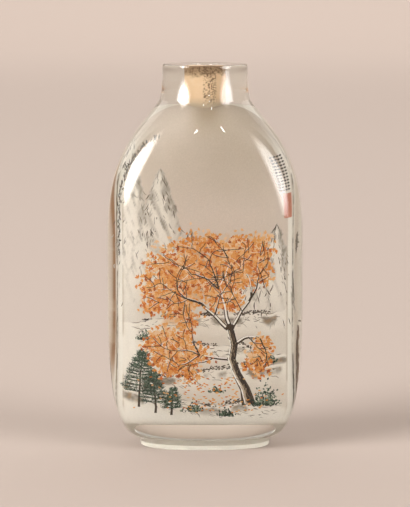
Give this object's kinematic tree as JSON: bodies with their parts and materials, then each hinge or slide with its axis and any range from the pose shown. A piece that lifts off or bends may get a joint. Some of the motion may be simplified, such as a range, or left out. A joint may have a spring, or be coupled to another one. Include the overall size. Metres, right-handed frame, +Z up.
{
  "type": "snuff bottle",
  "caption": "Flattened, rounded-square glass snuff bottle, hollow, with a round neck, a narrow drilled mouth and a low oval foot.",
  "frame": {"origin": "centre of the foot's underside, on the surface that the bottle stands on", "axes": "+Z up the bottle's height to the mouth, X across the broad faces, Y from front to back, with the front face towards -Y"},
  "size_m": [0.0428, 0.024, 0.084],
  "materials": {
    "clear_glass": "polished"
  },
  "bodies": {
    "root": {"glass_bottle": "clear_glass"}
  },
  "joints": []
}
